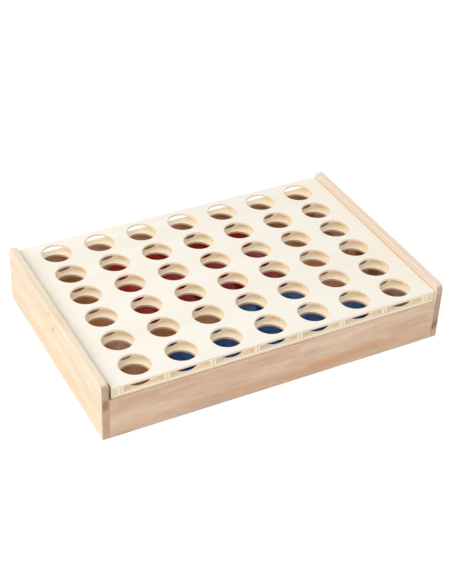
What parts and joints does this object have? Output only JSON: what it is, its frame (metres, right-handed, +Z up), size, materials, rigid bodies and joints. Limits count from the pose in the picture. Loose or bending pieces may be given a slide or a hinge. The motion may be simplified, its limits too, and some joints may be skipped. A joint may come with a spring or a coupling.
{
  "type": "four in a row frame",
  "caption": "Wooden storage tray with a drilled double-sheet playing frame lying on top and loose red and blue counters kept underneath.",
  "frame": {"origin": "centre of the tray's underside, at the middle of the overall box", "axes": "+X along the tray's long side to the right, +Y towards the frame's edge that is its bottom in play, +Z up"},
  "size_m": [0.2846, 0.186, 0.05],
  "materials": {
    "beech": "fine sanded solid wood, pinkish tan, clear matt",
    "side_wood": "fine sanded solid wood, pale cream, clear matt",
    "pale_ply": "pale three-ply, sanded, clear matt",
    "pale_solid": "pale solid wood, sanded",
    "hardboard": "smooth brown board",
    "pin_steel": "plain wire",
    "red_lacquer": "glossy red lacquer on wood",
    "blue_lacquer": "glossy blue lacquer on wood"
  },
  "bodies": {
    "tray": {"floor_panel": "hardboard", "front_panel": "beech", "back_panel": "beech", "left_side_panel": "side_wood", "right_side_panel": "side_wood", "left_front_guide": "beech", "left_rear_guide": "beech", "right_front_guide": "beech", "right_rear_guide": "beech", "corner_pins": "pin_steel"},
    "playing_frame": {"upper_sheet": "pale_ply", "lower_sheet": "pale_ply", "left_end_block": "pale_solid", "right_end_block": "pale_solid", "left_liner": "pale_ply", "right_liner": "pale_ply", "divider_1": "pale_ply", "divider_2": "pale_ply", "divider_3": "pale_ply", "divider_4": "pale_ply", "divider_5": "pale_ply", "divider_6": "pale_ply"},
    "red_set": {"red_counters": "red_lacquer"},
    "blue_set": {"blue_counters": "blue_lacquer"}
  },
  "joints": [
    {"name": "frame_lift", "type": "slide", "parent": "tray", "child": "playing_frame", "axis": [0, 0, 1], "range_m": [0, 0.12]},
    {"name": "red_counters_slide", "type": "slide", "parent": "tray", "child": "red_set", "axis": [1, 0, 0], "range_m": [-0.05, 0.05]},
    {"name": "blue_counters_slide", "type": "slide", "parent": "tray", "child": "blue_set", "axis": [1, 0, 0], "range_m": [-0.05, 0.015]}
  ]
}
